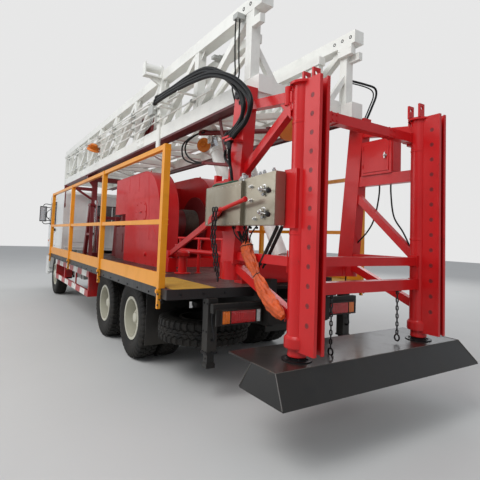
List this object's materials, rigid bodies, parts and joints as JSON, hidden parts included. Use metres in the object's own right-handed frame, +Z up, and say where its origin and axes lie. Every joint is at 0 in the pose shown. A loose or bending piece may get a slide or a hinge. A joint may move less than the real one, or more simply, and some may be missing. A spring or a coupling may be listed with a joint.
{
  "type": "truck-mounted workover rig",
  "caption": "Three-axle truck with a railed deck, winch drum, rear leg frame with base beam, and a white lattice mast that hinges up over the rear end.",
  "frame": {"origin": "on the ground, on the centre plane, halfway between the base beam's rear edge and the crown's front end", "axes": "+X to the cab, +Y to the left of the truck, +Z up"},
  "size_m": [12.37, 2.995, 4.25],
  "materials": {
    "frame_black": "matt black chassis paint, dusty",
    "deck_brown": "dark brown paint on checker plate with a black edge",
    "railing_yellow": "gloss safety yellow",
    "guard_stripes": "red and white slanted stripes, semi-gloss",
    "cab_white": "gloss white car paint",
    "window_glass": "dark tinted glass",
    "cab_lining": "grained dark plastic and cloth",
    "mirror_black": "grained black plastic",
    "engine_grey": "painted casting",
    "tank_grey": "satin light grey",
    "tyre_rubber": "black rubber with road tread",
    "rim_cream": "cream enamel",
    "rig_red": "gloss signal red",
    "beam_black": "gloss black paint",
    "rod_dark": "oiled dark steel",
    "mast_white": "gloss white with dark red band under the lower chords",
    "ram_grey": "satin light grey",
    "rod_chrome": "hard chrome",
    "console_steel": "brushed stainless sheet"
  },
  "bodies": {
    "rig": {"chassis_frame": "frame_black", "subframe": "frame_black", "deck": "deck_brown", "railing_left": "railing_yellow", "railing_right": "railing_yellow", "side_guard_left": "guard_stripes", "side_guard_right": "guard_stripes", "front_bumper": "cab_white", "cab_shell": "cab_white", "cab_glass": "window_glass", "cab_interior": "cab_lining", "mirrors": "mirror_black", "engine_block": "engine_grey", "side_tanks": "tank_grey", "front_axle": "frame_black", "rear_axles": "frame_black", "spare_wheel": "tyre_rubber", "tail_beam": "frame_black", "stabiliser_sleeves": "frame_black", "rear_frame_left": "rig_red", "rear_frame_right": "rig_red", "cross_beams": "rig_red", "mast_rest": "rig_red", "drawworks_case": "rig_red", "winch_set": "rig_red", "control_console": "console_steel", "side_cabinet": "rig_red"},
    "door_left_body": {"door_left": "cab_white", "door_glass_left": "window_glass"},
    "door_right_body": {"door_right": "cab_white", "door_glass_right": "window_glass"},
    "steer_left": {"knuckle_left": "frame_black"},
    "steer_right": {"knuckle_right": "frame_black"},
    "wheel_front_left": {"tyre_front_left": "tyre_rubber", "rim_front_left": "rim_cream"},
    "wheel_front_right": {"tyre_front_right": "tyre_rubber", "rim_front_right": "rim_cream"},
    "wheels_middle_left": {"tyres_middle_left": "tyre_rubber", "rims_middle_left": "rim_cream"},
    "wheels_middle_right": {"tyres_middle_right": "tyre_rubber", "rims_middle_right": "rim_cream"},
    "wheels_rear_left": {"tyres_rear_left": "tyre_rubber", "rims_rear_left": "rim_cream"},
    "wheels_rear_right": {"tyres_rear_right": "tyre_rubber", "rims_rear_right": "rim_cream"},
    "stabiliser_leg_left": {"stabiliser_left": "frame_black"},
    "stabiliser_leg_right": {"stabiliser_right": "frame_black"},
    "jacks": {"jack_rods": "rod_dark", "base_beam": "beam_black"},
    "mast": {"mast_side_left": "mast_white", "mast_side_right": "mast_white", "mast_bracing": "mast_white"},
    "mast_top": {"mast_upper": "mast_white", "crown_block": "mast_white"},
    "ram_barrels": {"raising_barrels": "ram_grey"},
    "ram_rods": {"raising_rods": "rod_chrome"},
    "drum": {"drawworks_drum": "rig_red"}
  },
  "joints": [
    {"name": "door_left_swing", "type": "hinge", "parent": "rig", "child": "door_left_body", "pos_m": [4.625, 1.214, 1.42], "axis": [0, 0, -1], "range_deg": [0, 70]},
    {"name": "door_right_swing", "type": "hinge", "parent": "rig", "child": "door_right_body", "pos_m": [4.625, -1.214, 1.42], "axis": [0, 0, 1], "range_deg": [0, 70]},
    {"name": "steering_left", "type": "hinge", "parent": "rig", "child": "steer_left", "pos_m": [3.585, 0.79, 0.53], "axis": [0, 0, 1], "range_deg": [-35, 35]},
    {"name": "steering_right", "type": "hinge", "parent": "rig", "child": "steer_right", "pos_m": [3.585, -0.79, 0.53], "axis": [0, 0, 1], "range_deg": [-35, 35]},
    {"name": "spin_front_left", "type": "hinge", "parent": "steer_left", "child": "wheel_front_left", "pos_m": [3.585, 1.03, 0.525], "axis": [0, 1, 0], "continuous": true},
    {"name": "spin_front_right", "type": "hinge", "parent": "steer_right", "child": "wheel_front_right", "pos_m": [3.585, -1.03, 0.525], "axis": [0, 1, 0], "continuous": true},
    {"name": "spin_middle_left", "type": "hinge", "parent": "rig", "child": "wheels_middle_left", "pos_m": [-1.515, 0.905, 0.525], "axis": [0, 1, 0], "continuous": true},
    {"name": "spin_middle_right", "type": "hinge", "parent": "rig", "child": "wheels_middle_right", "pos_m": [-1.515, -0.905, 0.525], "axis": [0, 1, 0], "continuous": true},
    {"name": "spin_rear_left", "type": "hinge", "parent": "rig", "child": "wheels_rear_left", "pos_m": [-2.865, 0.905, 0.525], "axis": [0, 1, 0], "continuous": true},
    {"name": "spin_rear_right", "type": "hinge", "parent": "rig", "child": "wheels_rear_right", "pos_m": [-2.865, -0.905, 0.525], "axis": [0, 1, 0], "continuous": true},
    {"name": "stabiliser_left_slide", "type": "slide", "parent": "rig", "child": "stabiliser_leg_left", "axis": [0, 0, -1], "range_m": [0, 0.335]},
    {"name": "stabiliser_right_slide", "type": "slide", "parent": "rig", "child": "stabiliser_leg_right", "axis": [0, 0, -1], "range_m": [0, 0.335]},
    {"name": "jack_slide", "type": "slide", "parent": "rig", "child": "jacks", "axis": [0, 0, -1], "range_m": [0, 0.495]},
    {"name": "mast_tilt", "type": "hinge", "parent": "rig", "child": "mast", "pos_m": [-4.995, 0, 3.06], "axis": [0, -1, 0], "range_deg": [0, 90]},
    {"name": "mast_extend", "type": "slide", "parent": "mast", "child": "mast_top", "axis": [1, 0, 0], "range_m": [0, 9.2]},
    {"name": "barrel_swing", "type": "hinge", "parent": "rig", "child": "ram_barrels", "pos_m": [-4.315, 0, 1.36], "axis": [0, -1, 0], "range_deg": [0, 43.2]},
    {"name": "rod_stroke", "type": "slide", "parent": "ram_barrels", "child": "ram_rods", "axis": [0.5336, 0, 0.8457], "range_m": [0, 1.52]},
    {"name": "drum_turn", "type": "hinge", "parent": "rig", "child": "drum", "pos_m": [-1.255, 0, 1.88], "axis": [0, 1, 0], "continuous": true}
  ],
  "couplings": [
    {"joint": "steering_right", "follows": "steering_left", "ratio": 1},
    {"joint": "barrel_swing", "follows": "mast_tilt", "ratio": 0.479},
    {"joint": "rod_stroke", "follows": "mast_tilt", "m_per_rad": 0.9653}
  ]
}
